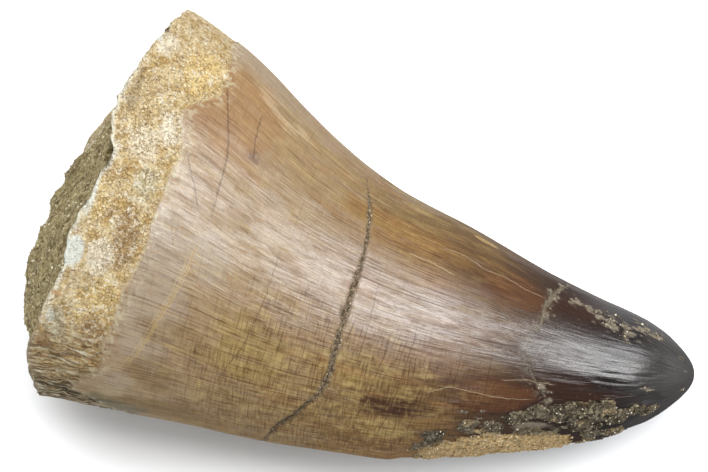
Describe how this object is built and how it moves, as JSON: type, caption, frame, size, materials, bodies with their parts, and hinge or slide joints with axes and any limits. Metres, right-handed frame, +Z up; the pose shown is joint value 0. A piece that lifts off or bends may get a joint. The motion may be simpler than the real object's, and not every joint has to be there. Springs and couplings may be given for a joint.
{
  "type": "fossil mosasaur tooth",
  "caption": "Fossil marine reptile tooth lying on its side: a conical enamelled crown on a broken root filled with sandstone, for display, study or teaching",
  "frame": {"origin": "the middle of the small worn flat that the tooth rests on", "axes": "+X runs from the broken base towards the tip, +Z is up"},
  "size_m": [0.0672, 0.0408, 0.0333],
  "materials": {
    "enamel": "fossil enamel, satin, pinkish tan at the root and dark brown at the tip, over granular golden root",
    "sandstone": "matt granular olive sandstone",
    "crust": "matt grey-green sand grains with golden patches"
  },
  "bodies": {
    "root": {"tooth": "enamel", "matrix_fill": "sandstone", "matrix_crust": "crust"}
  },
  "joints": []
}
